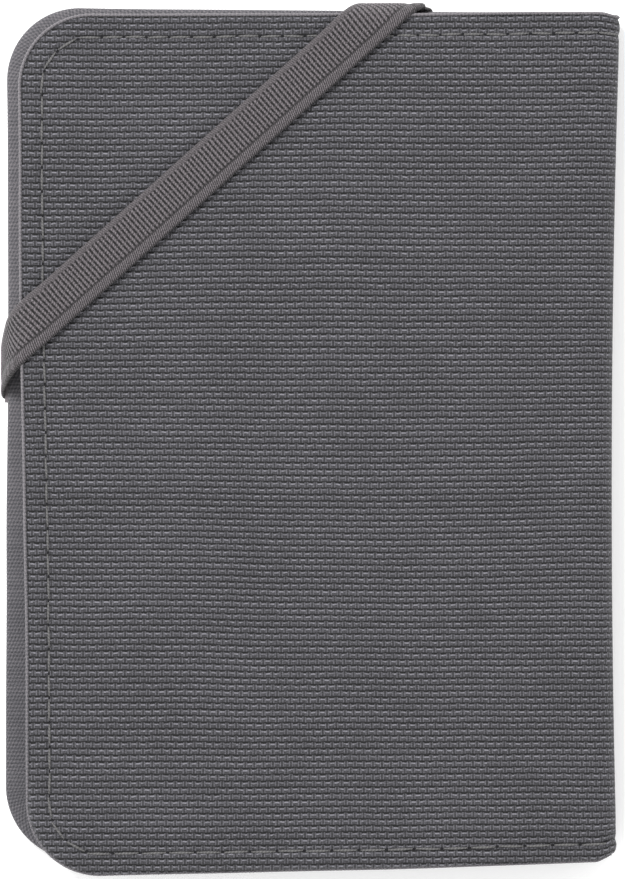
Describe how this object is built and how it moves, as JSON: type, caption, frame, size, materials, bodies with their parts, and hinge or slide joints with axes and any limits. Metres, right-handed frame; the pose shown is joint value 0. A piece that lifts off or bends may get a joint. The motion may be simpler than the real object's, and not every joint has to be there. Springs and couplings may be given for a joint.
{
  "type": "passport holder wallet",
  "caption": "Fabric passport wallet that folds like a book, with stiffened covers, inner pockets and card slots, and an elastic strap over one corner.",
  "frame": {"origin": "on the outer face of the back cover, 50.6 mm in from the spine's outer face and 72.6 mm below the back cover's top edge", "axes": "+X towards the spine, +Y up the height of the covers, +Z out of the front cover, with the wallet closed and lying on its back cover"},
  "size_m": [0.1035, 0.1456, 0.0137],
  "materials": {
    "shell_fabric": "coarse plain-weave polyester, grey",
    "edge_tape": "fine ribbed grosgrain, grey",
    "thread": "bonded polyester thread, grey",
    "elastic": "ribbed woven elastic, warm grey",
    "lining": "fine ripstop lining, light grey",
    "board": "polyethylene sheet, white",
    "foil": "metallised shielding film"
  },
  "bodies": {
    "back": {"back_outer_panel": "shell_fabric", "back_edge_tape": "edge_tape", "back_outer_thread": "thread", "back_inner_thread": "thread", "back_board": "board", "back_shield_foil": "foil", "back_lining": "lining", "sleeve_mouth_tape": "edge_tape", "sleeve_seams": "lining", "passport_sleeve": "lining", "strap_end_left": "elastic", "strap_end_top": "elastic"},
    "spine": {"spine_outer_panel": "shell_fabric", "spine_end_tapes": "edge_tape", "spine_foil": "foil", "spine_lining": "lining"},
    "front": {"front_outer_panel": "shell_fabric", "front_edge_tape": "edge_tape", "card_mouth_tape_1": "edge_tape", "card_mouth_tape_2": "edge_tape", "card_mouth_tape_3": "edge_tape", "front_outer_thread": "thread", "front_inner_thread": "thread", "card_slot_thread": "thread", "front_board": "board", "front_shield_foil": "foil", "front_lining": "lining", "ticket_pocket": "lining", "ticket_pocket_seams": "lining", "card_slot_1": "lining", "card_slot_2": "lining", "card_slot_3": "lining", "card_slot_seams": "lining"},
    "strap": {"elastic_strap": "elastic"}
  },
  "joints": [
    {"name": "spine_fold", "type": "hinge", "parent": "back", "child": "spine", "pos_m": [0.0506, 0, 0], "axis": [0, 1, 0], "range_deg": [0, 90]},
    {"name": "cover_fold", "type": "hinge", "parent": "spine", "child": "front", "pos_m": [0.0506, 0, 0.0124], "axis": [0, 1, 0], "range_deg": [0, 90]},
    {"name": "strap_swing", "type": "hinge", "parent": "back", "child": "strap", "pos_m": [-0.04855, 0.0183, 0.0062], "axis": [-0.744, -0.6682, 0], "range_deg": [0, 180], "deforming": ["elastic_strap"]}
  ],
  "couplings": [
    {"joint": "cover_fold", "follows": "spine_fold", "ratio": 1}
  ]
}
